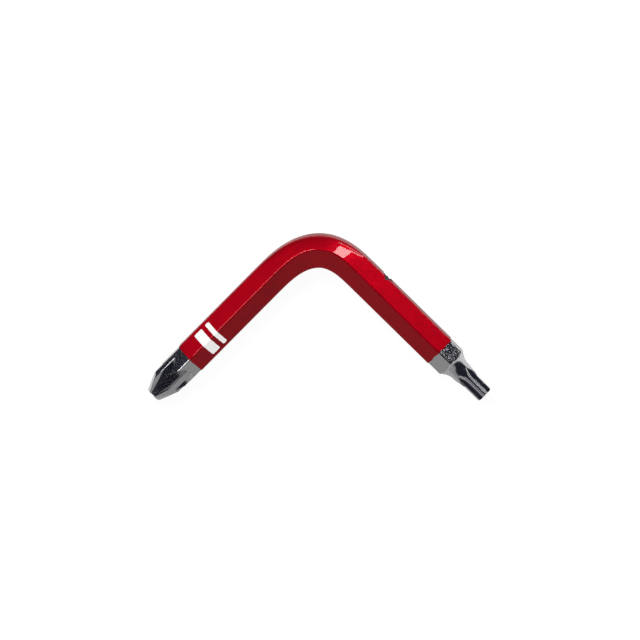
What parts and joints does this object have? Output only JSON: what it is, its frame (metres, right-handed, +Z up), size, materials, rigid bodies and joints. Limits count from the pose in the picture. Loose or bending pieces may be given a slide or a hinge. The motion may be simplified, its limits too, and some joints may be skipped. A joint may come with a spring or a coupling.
{
  "type": "angle screwdriver",
  "caption": "L-shaped hexagonal steel key with a cross tip on one arm, a six-lobe tip on the other and a glossy red coat over the grip, for setting ski bindings.",
  "frame": {"origin": "on the surface that the key lies on, under the middle of its bounding box", "axes": "+Z up, square to the plane of the bend; the cross arm points along -X and the star arm along -Y, so the bend is at +X, +Y"},
  "size_m": [0.0596, 0.0598, 0.0089],
  "materials": {
    "bright_steel": "bright drawn and plated, ground at the tips",
    "red_coat": "glossy baked powder coat",
    "white_print": "satin pad-printed ink"
  },
  "bodies": {
    "root": {"steel_key": "bright_steel", "red_coat": "red_coat"}
  },
  "joints": []
}
